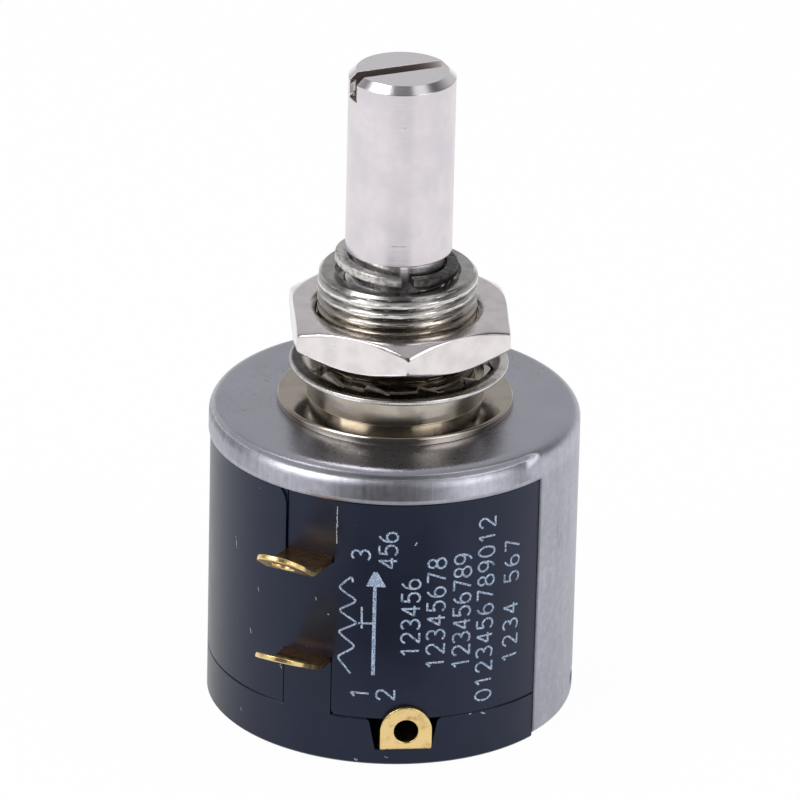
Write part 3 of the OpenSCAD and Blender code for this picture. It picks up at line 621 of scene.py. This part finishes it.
def dull_nickel():
    finish = Finish("dull_nickel", (0.60, 0.56, 0.50), 1.0, 0.22)
    threaded = finish.ramp(finish.z, shoulder - 0.01, shoulder + 0.01)
    # The thread is painted darker in its grooves, as grime and painted shade, and between washer and nut, as
    # painted shade.
    depth = finish.ramp(finish.radius * -1, -thread_radius + 0.02, -thread_radius + 0.8 * thread_depth)
    under_nut_shade = threaded * (1 - finish.ramp(finish.z, shoulder + 1.2, shoulder + 2.2))
    grime_and_shade = (threaded * depth * 0.5).either(under_nut_shade * 0.85)
    lines = finish.noise(1.0, 2.0, finish.vector(finish.z * 16, finish.angle * 0.5, 7.0))
    grime_and_shade = grime_and_shade.either(threaded * finish.ramp(lines, 0.5, 0.64) * 0.4)
    fine = finish.noise(1.0, 2.0, finish.vector(finish.radius * 24, finish.z * 20, finish.angle * 0.6))
    patches = finish.noise(1.0, 3.0, finish.vector(finish.x * 1.2, finish.y * 1.2, finish.z * 5))
    worn = finish.ramp(patches, 0.4, 0.62)
    stain = finish.ramp(finish.noise(0.7, 3.0), 0.45, 0.7)
    pits = finish.specks(2.2, 0.06, 0.10).either(finish.specks(4.5, 0.05, 0.04))
    colour = finish.blend(stain * 0.5, nickel_plain, nickel_stained)
    # The thread is painted browner low down, by the washer and under the nut, as painted shade, and brighter
    # towards its top.
    high_thread = finish.ramp(finish.z, shoulder + 3.6, thread_top - 0.6)
    low_thread = threaded * (1 - finish.ramp(finish.z, shoulder + 2.6, thread_top - 0.8))
    colour = finish.blend(high_thread, colour, nickel_bright)
    colour = finish.blend(low_thread * 0.6, colour, nickel_brown)
    colour = finish.blend(threaded * worn * 0.3, colour, nickel_worn)
    finish.set({
        "Base Color": finish.blend(pits.either(grime_and_shade), colour, thread_grime_and_shade),
        "Roughness": 0.10 + 0.06 * fine + 0.06 * stain + 0.14 * threaded * worn,
    })
    finish.relief(fine * (0.12 + 0.7 * threaded) - pits, 0.004)
    return finish.material


flange_foot, flange_top = face_height + face_gap, face_height + flange_height
bushing_profile = softened([
    [bore_radius, bushing_low[2]], [staked_radius, bushing_low[2]],
    [staked_radius, face_height - can_thickness], [staked_neck, face_height - can_thickness],
    [staked_neck, flange_foot], [flange_radius, flange_foot],
    [flange_radius, flange_top - flange_chamfer], [flange_radius - flange_chamfer, flange_top],
    [neck_radius, flange_top], [neck_radius, shoulder], [thread_radius, shoulder],
], edge_round)
end_profile = softened([
    [thread_radius - thread_chamfer, thread_top], [counterbore_radius, thread_top],
    [counterbore_radius, thread_top - counterbore_depth], [bore_radius, thread_top - counterbore_depth],
    [bore_radius, bushing_low[2]],
], edge_round)
bushing_sheets = [revolved(bushing_profile, 180), thread_sheet(), revolved(end_profile, 180)]
piece("mounting_bushing_turned", bushing_sheets, dull_nickel(), "case", ["mounting_bushing"])


# Lock washer
# Stamped spring steel with a nickel plate, loose on the bushing. A flat rim carries inner teeth
# that are twisted out of its plane, with a round gap between each tooth and the next.
washer_low, washer_high = (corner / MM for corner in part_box("lock_washer"))
washer_radius = (washer_high[0] - washer_low[0]) / 2
washer_shift = (washer_high[0] + washer_low[0]) / 2
washer_rim, washer_thickness = 0.95, 0.28
washer_middle = (washer_low[2] + washer_high[2]) / 2
tooth_count, tooth_first, tooth_width = 11, math.radians(13.2), 1.5
tooth_twist, tooth_lift, tooth_round, tooth_clearance = math.radians(22), 0.14, 0.07, 0.32
tooth_tip, tooth_root = thread_radius + tooth_clearance, washer_radius - 0.45 * washer_rim
spring_plain, spring_worn, spring_tooth_lit = (0.74, 0.72, 0.70), (0.40, 0.35, 0.29), (0.95, 0.88, 0.80)
spring_shade = (0.030, 0.026, 0.022)


def boxed(width, height, radius, steps=4):
    """A closed loop: a rectangle about the origin with rounded corners."""
    w, h = width / 2, height / 2
    corners = np.array([[0, -h], [w, -h], [w, h], [-w, h], [-w, -h], [0, -h]])
    return softened(corners, radius, steps)


def tooth_sheet(first):
    """A tooth: a rounded section that narrows from the rim, turns about the tooth's middle line by
    the twist and rises by the lift as it goes inwards."""
    s = np.linspace(0, 1, 14)
    reach = tooth_root + (tooth_tip - tooth_root) * s
    rise = np.clip((s - 0.30) / 0.45, 0, 1)
    twist = tooth_twist * rise * rise * (3 - 2 * rise)
    width = tooth_width * (1 + 0.9 * np.exp(-(s / 0.33) ** 2) - 0.10 * s ** 6)
    loop = boxed(tooth_width, washer_thickness * 0.98, tooth_round)
    across = loop[:, 0][None] * (width / tooth_width)[:, None]
    up = loop[:, 1][None] + 0 * across
    c, d = np.cos(twist)[:, None], np.sin(twist)[:, None]
    x, z = across * c + up * d, up * c - across * d
    body = np.stack([x, -reach[:, None] + 0 * x, z + tooth_lift * rise[:, None]], -1)
    tip = np.repeat(body[-1:].mean(1, keepdims=True), body.shape[1], 1)
    return turned(np.concatenate([body, tip]), first)


def plated_spring():
    finish = Finish("plated_spring", (0.66, 0.64, 0.61), 1.0, 0.22)
    wear = finish.ramp(finish.noise(1.6, 3.0), 0.4, 0.7)
    pits = finish.specks(3.0, 0.07, 0.14)
    inside = 1 - finish.ramp(finish.radius, washer_radius - 0.40, washer_radius - 0.22)
    rim_inside = washer_radius - washer_rim
    teeth = 1 - finish.ramp(finish.radius, rim_inside - 0.15, rim_inside + 0.1)
    # The inner part of the rim, under the nut, is painted near black: painted shade.
    rim_shade = inside * (1 - teeth) * 0.94
    colour = finish.blend(pits.either(wear * 0.45), spring_plain, spring_worn)
    # The teeth are painted paler than the rim: painted light.
    colour = finish.blend(teeth, colour, spring_tooth_lit)
    finish.set({
        "Base Color": finish.blend(rim_shade, colour, spring_shade),
        "Roughness": 0.22 + 0.18 * wear + 0.25 * teeth,
    })
    finish.relief(finish.noise(6, 2.0) - pits, 0.008)
    return finish.material


rim = boxed(washer_rim, washer_thickness, 0.08) + [washer_radius - washer_rim / 2, 0]
washer_sheets = [revolved(rim, 160)] + [
    tooth_sheet(tooth_first + k * 2 * math.pi / tooth_count) for k in range(tooth_count)]
piece("lock_washer_stamped", [sheet + [washer_shift, 0, washer_middle] for sheet in washer_sheets],
      plated_spring(), "case", ["lock_washer"])


# Hexagon nut
# Turned from hexagon bar, bevelled on both faces and bright nickel plated. It stands part of
# the way up the thread, and its faces have small tool marks.
nut_low, nut_high = (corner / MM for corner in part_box("hex_nut"))
nut_flat, nut_height = 6.35, nut_high[2] - nut_low[2]
nut_corner = math.radians(31)
nut_edge_round, nut_corner_round, nut_bevel, nut_face = 0.2, 0.28, math.radians(30), 6.3
nut_bore, nut_sink, corner_zone, nut_offset = 4.8025, 0.45, 0.03, 0.15
nut_shift = nut_offset * np.array([side_cosine, side_sine])
nut_warm, nut_cool, nut_mark = (0.84, 0.79, 0.79), (0.74, 0.69, 0.69), (0.25, 0.21, 0.18)


def hexagon_radius(a):
    """The distance to the outline: the flat's distance over the cosine of the angle from the
    flat's middle, or near a corner the far side of a small circle that touches both flats."""
    from_corner = np.mod(a - nut_corner + math.pi / 6, math.pi / 3) - math.pi / 6
    straight = nut_flat / np.cos(math.pi / 6 - np.abs(from_corner))
    centre = (nut_flat - nut_corner_round) / math.cos(math.pi / 6)
    inside = np.clip(nut_corner_round ** 2 - (centre * np.sin(from_corner)) ** 2, 0, None)
    rounded = centre * np.cos(from_corner) + np.sqrt(inside)
    edge = math.atan2(nut_corner_round * 0.5, centre + nut_corner_round * math.cos(math.pi / 6))
    return np.where(np.abs(from_corner) < edge, rounded, straight)


def nut_sheet():
    """Paths from bore to bore at each angle: the face, the cone of the bevel out to the flat,
    down the flat, and back along the other bevel and face. The outline stands a little off the
    bore's centre, by a share that grows from none at the bore to all at the flats."""
    sixth = math.pi / 3
    side = np.concatenate([np.linspace(0, corner_zone, 7)[:-1],
                           np.linspace(corner_zone, sixth - corner_zone, 40),
                           np.linspace(sixth - corner_zone, sixth, 7)[1:]])[:-1]
    a = np.concatenate([nut_corner + k * sixth + side for k in range(6)] + [[nut_corner + 2 * math.pi]])
    outline = hexagon_radius(a)
    drop = np.clip(outline - nut_face, 0, None) * math.tan(nut_bevel)
    face, sink = np.minimum(nut_face, outline - 0.01), nut_bore + nut_sink
    path = np.stack([np.stack(np.broadcast_arrays(r, z, a)[:2], -1) for r, z in (
        (nut_bore, nut_height / 2), (nut_bore, nut_height - nut_sink), (sink, nut_height),
        (face, nut_height), (outline, nut_height - drop), (outline, drop), (face, 0), (sink, 0),
        (nut_bore, nut_sink), (nut_bore, nut_height / 2))], 1)
    path = softened(path, nut_edge_round, 5)
    share = np.clip((path[..., 0] - nut_bore) / (nut_face - nut_bore), 0, 1)
    x = path[..., 0] * np.sin(a)[:, None] + share * nut_shift[0]
    y = -path[..., 0] * np.cos(a)[:, None] + share * nut_shift[1]
    return np.stack([x, y, path[..., 1] + nut_low[2]], -1)


def bright_nickel():
    finish = Finish("bright_nickel", (0.80, 0.77, 0.75), 1.0, 0.16)
    haze = finish.noise(0.9, 4.0)
    marks = finish.specks(2.0, 0.05, 0.16).either(finish.specks(1.1, 0.05, 0.2))
    colour = finish.blend(finish.ramp(haze, 0.35, 0.7), nut_warm, nut_cool)
    finish.set({
        "Base Color": finish.blend(marks * 0.7, colour, nut_mark),
        "Roughness": 0.12 + 0.10 * haze + 0.2 * marks,
    })
    finish.relief(finish.noise(2.2, 3.0) - marks * 0.5, 0.008)
    return finish.material


piece("hex_nut_turned", [nut_sheet()], bright_nickel(), "nut", ["hex_nut"])


# Shaft
# Ground stainless rod with a chamfered end, a sawn screwdriver slot and a groove for the
# retaining ring. The ground face is bright, with a few pits and a faint ring worn by a knob. The
# end face is painted lighter, as painted light, and the slot darker, as painted shade.
shaft_low, shaft_high = (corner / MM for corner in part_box("shaft"))
shaft_radius, shaft_top, shaft_foot = (shaft_high[0] - shaft_low[0]) / 2, shaft_high[2], shaft_low[2]
shaft_chamfer, saw_width, saw_depth, saw_angle = 0.45, 1.0, 1.5, math.radians(50)
groove_low, groove_high, groove_radius = 26.94, 28.80, 2.75
ring_seat_edge = 0.05
core_radius, journal_radius, core_foot, core_top = 2.4, 1.6, 2.5, 17.3
knob_line_height, knob_line_angle = 30.05, 0.45
shaft_warm, shaft_cool, shaft_end_lit = (0.80, 0.745, 0.765), (0.71, 0.665, 0.70), (0.92, 0.89, 0.91)
shaft_mottle, shaft_mark_and_shade = (0.68, 0.65, 0.71), (0.20, 0.14, 0.10)


def between(first, last, steps):
    """Lines of points that go evenly from the first line to the last: first + (last - first) u."""
    u = np.linspace(0, 1, steps)[:, None, None]
    return first + (last - first) * u


def shaft_end():
    """The sawn end. Above the saw's floor each half is a sheet of paths: up the saw's wall, over
    the flat top, down the chamfer and the round side. A strip between them is the saw's floor."""
    half, floor = saw_width / 2, shaft_top - saw_depth
    inner = shaft_radius - shaft_chamfer
    limit = math.acos(half / shaft_radius)
    t = np.linspace(-limit, limit, 97)
    x, y = shaft_radius * np.sin(t), shaft_radius * np.cos(t)
    wall_top = shaft_top - np.clip(np.hypot(x, half) - inner, 0, None)
    on_flat = inner * np.cos(t) > half
    end_x = math.sqrt(inner ** 2 - half ** 2)
    flat_x = np.where(on_flat, inner * np.sin(t), x)
    flat_y = np.where(on_flat, inner * np.cos(t), half)
    flat_z = np.where(on_flat, shaft_top, wall_top)
    start_x = np.where(on_flat, np.clip(x, -end_x, end_x), x)
    edge_z = np.where(on_flat, shaft_top, wall_top)
    edge_z = np.minimum(edge_z, shaft_top - shaft_chamfer)
    foot, start, flat, edge, low = (np.stack(np.broadcast_arrays(*line), -1) for line in (
        (start_x, half, floor), (start_x, half, flat_z), (flat_x, flat_y, flat_z),
        (x, y, edge_z), (x, y, floor)))
    one = np.concatenate([between(foot, start, 5), between(start, flat, 7)[1:],
                          between(flat, edge, 5)[1:], between(edge, low, 9)[1:]]).swapaxes(0, 1)
    other = one * [-1, -1, 1]
    v = np.linspace(-half, half, 9)[:, None]
    u = np.linspace(-1, 1, 41)[None]
    strip = np.stack([u * np.sqrt(shaft_radius ** 2 - v ** 2), v + 0 * u, floor + 0 * u * v], -1)
    return [turned(sheet, saw_angle) for sheet in (one, other, strip)]


shaft_profile = softened([
    [shaft_radius, shaft_top - saw_depth], [shaft_radius, groove_high], [groove_radius, groove_high],
    [groove_radius, groove_low], [shaft_radius, groove_low], [shaft_radius, core_top],
    [core_radius, core_top], [core_radius, core_foot], [journal_radius, core_foot],
    [journal_radius, shaft_foot + 0.1], [journal_radius - 0.1, shaft_foot], [0, shaft_foot],
], ring_seat_edge)


def ground_steel():
    finish = Finish("ground_steel", (0.86, 0.83, 0.84), 1.0, 0.16)
    grinding = finish.noise(1.0, 2.0, finish.vector(finish.angle * 1.5, finish.z * 11, finish.radius * 3))
    haze = finish.noise(0.45, 3.0)
    pits = finish.specks(1.25, 0.06, 0.30).either(finish.specks(2.6, 0.05, 0.10))
    away = abs(finish.z - knob_line_height - finish.noise(1.5) * 0.1)
    near = 1 - finish.ramp(abs(finish.angle - knob_line_angle), 0.12, 0.22)
    worn = (1 - finish.ramp(away, 0.0, 0.05)) * near * finish.ramp(finish.noise(3), 0.35, 0.6)
    side = finish.ramp(finish.radius, shaft_radius - 0.05, shaft_radius - 0.01)
    # The saw slot is painted dark, as painted shade in the slot, and made rougher for the saw's face.
    across = finish.y * math.cos(saw_angle) - finish.x * math.sin(saw_angle)
    sawn_and_shaded = 1 - finish.ramp(abs(across), saw_width / 2 - 0.01, saw_width / 2 + 0.01)
    sawn_and_shaded = sawn_and_shaded * finish.ramp(finish.z, shaft_top - saw_depth - 0.05, shaft_top - saw_depth) * 0.85
    marks = pits.either(worn * 0.5)
    mottle = finish.ramp(finish.noise(2.0, 4.0, roughness=0.65), 0.3, 0.7)
    colour = finish.blend(finish.ramp(haze, 0.35, 0.7), shaft_warm, shaft_cool)
    colour = finish.blend(mottle * 0.35, colour, shaft_mottle)
    # The end face is painted lighter than the side: painted light.
    colour = finish.blend(side, shaft_end_lit, colour)
    finish.set({
        "Base Color": finish.blend(marks.either(sawn_and_shaded), colour, shaft_mark_and_shade),
        "Roughness": 0.17 + 0.10 * grinding * side + 0.05 * haze + 0.25 * sawn_and_shaded,
    })
    finish.relief(grinding * 0.6 - marks, 0.004, 0.08 * MM)
    return finish.material


piece("shaft_ground", [*shaft_end(), revolved(shaft_profile, 192)], ground_steel(), "spindle",
      ["shaft"], bevel=0.04)


# Retaining ring
# An open ring of spring steel, pressed from strip, that sits loose and tilted in the groove.
# Its faces are rough from the press, and one end stands prouder than the other.
ring_outer, ring_width, ring_thickness, ring_gap = 3.68, 0.7, 0.5, 0.75
ring_middle, ring_tilt, ring_shift = 27.95, math.radians(5), 0.1
ring_up, ring_open = math.radians(-64), math.radians(37)
ring_pale, ring_dark, ring_shade = (0.70, 0.69, 0.67), (0.36, 0.34, 0.31), (0.03, 0.028, 0.026)


def ring_sheet():
    """A rounded section carried from one end of the ring to the other, and closed by a cap."""
    section = boxed(ring_width, ring_thickness, 0.09) + [ring_outer - ring_width / 2, 0]
    open_half = math.degrees(math.asin(ring_gap / 2 / ring_outer))
    ring = revolved(section, 120, open_half, 360 - open_half)
    ends = [np.repeat(ring[k:k + 1].mean(1, keepdims=True), ring.shape[1], 1) for k in (0, -1)]
    return np.concatenate([ends[0], ring, ends[1]])


def placed_ring():
    """The ring opened at its angle, moved off the axis, tipped, and turned to its high side."""
    ring = turned(ring_sheet(), ring_open - ring_up) - [0, ring_shift, 0]
    y, z = ring[..., 1], ring[..., 2]
    c, s = math.cos(-ring_tilt), math.sin(-ring_tilt)
    tipped = np.stack([ring[..., 0], y * c - z * s, y * s + z * c], -1)
    return turned(tipped, ring_up) + [0, 0, ring_middle]


def pressed_steel():
    finish = Finish("pressed_steel", (0.60, 0.59, 0.57), 1.0, 0.3)
    rough = finish.noise(3.5, 4.0, roughness=0.65)
    # One side of the ring is painted dark: painted shade.
    shaded_side = finish.ramp(finish.angle + finish.noise(2.0) * 0.5, 0.55, 1.05) * finish.ramp(finish.z, 27, 27.2)
    colour = finish.blend(finish.ramp(rough, 0.45, 0.68), ring_pale, ring_dark)
    finish.set({
        "Base Color": finish.blend(shaded_side * (0.72 + 0.4 * rough), colour, ring_shade),
        "Roughness": 0.22 + 0.3 * rough,
    })
    finish.relief(rough, 0.03)
    return finish.material


ring_finish = pressed_steel()
piece("retaining_ring_pressed", [placed_ring()], ring_finish, "spindle", ["retaining_ring"])


# Terminals
# Strips of brass, stamped and gold plated, moulded into the case. Each is bent up by its own
# angle and ends in a round tab with a solder hole, with soft edges from the press.
strip_width, strip_thickness, eye_radius, tight_bend = 3.1, 0.32, 0.72, 0.2
outside_length, short_length, press_round = 5.15, 2.8, 0.08
eye_step, tail_half = 3.75, 45
gold_bright, gold_stain_and_reflection, reflection_above = (0.90, 0.67, 0.30), (0.36, 0.17, 0.06), (5.5, 6.0)
terminals = {
    "terminal_1": {"inner": 9.29, "height": 6.42, "flat": 1.1, "bend": 27, "soft": 1.5,
                   "length": outside_length, "turn": 0},
    "terminal_2": {"inner": 4.81, "height": 1.0, "flat": -0.18, "bend": 90, "soft": 0.2,
                   "length": short_length, "turn": 31.9},
    "terminal_3": {"inner": 9.29, "height": 12.92, "flat": 2.15, "bend": 36, "soft": 1.2,
                   "length": outside_length, "turn": 0},
}


def bent(flat_points, inner, height, first, middle, most, turn):
    """Points of a flat strip (along, across, above its middle) laid along the bent path: straight
    to the bend, round it at the middle's radius, and straight on at the bend's angle."""
    along, across, above = np.moveaxis(flat_points, -1, 0)
    phi = np.clip((along - first) / middle, 0, most)
    rest = np.clip(along - first - middle * most, 0, None)
    out = inner + np.minimum(along, first) + middle * np.sin(phi) + rest * math.cos(most)
    up = strip_thickness / 2 + middle * (1 - np.cos(phi)) + rest * math.sin(most)
    out, up = out - above * np.sin(phi), up + above * np.cos(phi)
    return turned(np.stack([across, -out, up + height], -1), math.radians(turn))


def terminal_sheets(inner, height, flat, bend, soft, length, turn):
    """Top and underside as rings round the eye and a strip behind them, with walls between. A soft
    bend starts sooner than a tight one, by the radii's difference times tan(bend / 2), so that
    the tab keeps its place."""
    most, middle = math.radians(bend), soft + strip_thickness / 2
    sooner = (soft - tight_bend) * math.tan(most / 2)
    first = pad_radius + flat - inner - sooner
    total = pad_radius - inner + length - 2 * sooner + (soft - tight_bend) * most
    half, thick = strip_width / 2, strip_thickness / 2
    eye = total - half
    a = np.radians(np.arange(0, 360.1, eye_step))
    ahead = np.cos(a) > -1e-9
    square = half / np.maximum(np.abs(np.sin(a)), np.abs(np.cos(a)))
    r = eye_radius + (np.where(ahead, half, square) - eye_radius) * np.linspace(0, 1, 7)[:, None]
    tab = np.stack([eye + r * np.cos(a), r * np.sin(a)], -1)
    from_back = np.abs(np.degrees(a) - 180)
    across, along = tab[-1, from_back <= tail_half + 0.1, 1], np.linspace(0, eye - half, 40)[:, None]
    tail = np.stack([along + 0 * across, across + 0 * along], -1)
    rim = tab[-1, from_back >= tail_half - 0.1]
    rim = rim[np.argsort(np.arctan2(rim[:, 1], rim[:, 0] - eye))]
    sheets = [np.insert(sheet, 2, z, axis=-1) for sheet in (tab, tail) for z in (-thick, thick)]
    sheets += [np.stack([np.insert(line, 2, z, axis=-1) for z in (-thick, thick)])
               for line in (tab[0], rim, tail[:, 0], tail[:, -1], tail[0])]
    return [bent(sheet, inner, height, first, middle, most, turn) for sheet in sheets]


def gold_plate():
    finish = Finish("gold_plate", (0.80, 0.56, 0.22), 1.0, 0.22)
    cloud = finish.noise(1.3, 4.0)
    root = 1 - finish.ramp(finish.radius + cloud * 1.5, pad_radius + 1.6, pad_radius + 3.6)
    # The two upper terminals are painted dark near the case, where they mirror the black moulding: painted
    # reflection. The cloudy stain is the plate's own.
    root_reflection = finish.ramp(finish.z, *reflection_above) * root
    stain = finish.ramp(cloud, 0.52, 0.72) * 0.5
    pits = finish.specks(3.0, 0.05, 0.08) * 0.5
    finish.set({
        "Base Color": finish.blend(stain.either(pits).either(root_reflection * 0.9), gold_bright, gold_stain_and_reflection),
        "Roughness": 0.18 + 0.22 * cloud,
    })
    finish.relief(finish.noise(2.4, 3.0), 0.03)
    return finish.material


gold_finish = gold_plate()
for name, sizes in terminals.items():
    piece(name + "_stamped", terminal_sheets(**sizes), gold_finish, "case", [name],
          bevel=press_round)


# Inner parts
# Hidden when the part is whole: the wound element, the moulded rotor with its sliding carriage,
# the plated strips and brush that carry the current out, and the plain bearings.
wire_dark, wire_bright, winding_lines = (0.40, 0.27, 0.17), (0.66, 0.50, 0.36), 900
moulding_shade, bronze_shade = 0.82, 0.7


def wound_wire():
    finish = Finish("wound_wire", (0.55, 0.40, 0.27), 1.0, 0.35)
    winding = finish.maths("SINE", finish.angle * winding_lines)
    finish.set({"Base Color": finish.blend(finish.ramp(winding, -1, 1), wire_dark, wire_bright)})
    finish.relief(winding, 0.02)
    return finish.material


def moulded_filler(name, colour):
    finish = Finish(name, colour, roughness=0.45)
    flow = finish.noise(0.4, 3.0)
    finish.set({
        "Base Color": finish.blend(finish.ramp(flow, 0.3, 0.7), colour,
                                   tuple(moulding_shade * c for c in colour)),
        "Roughness": 0.38 + 0.2 * flow,
    })
    finish.relief(finish.noise(6, 2.0), 0.008, seam_round)
    return finish.material


def plated_bronze(name, colour, grain):
    finish = Finish(name, colour, 1.0, 0.3)
    cloud = finish.noise(grain, 3.0)
    finish.set({
        "Base Color": finish.blend(finish.ramp(cloud, 0.35, 0.7), colour,
                                   tuple(bronze_shade * c for c in colour)),
        "Roughness": 0.22 + 0.25 * cloud,
    })
    finish.relief(cloud, 0.01)
    return finish.material


contact_finish = plated_bronze("contact_plate", (0.82, 0.64, 0.32), 1.5)
dress("resistance_helix", wound_wire())
dress("rotor", moulded_filler("rotor_moulding", (0.045, 0.040, 0.036)))
dress("wiper_carriage", moulded_filler("carriage_moulding", (0.80, 0.77, 0.69)))
dress("rear_bearing", plated_bronze("sintered_bronze", (0.62, 0.45, 0.25), 8))
dress("thrust_washer", ring_finish)
for node in ("collector_strip", "collector_ring", "collector_brush", "wiper_contact"):
    dress(node, contact_finish)
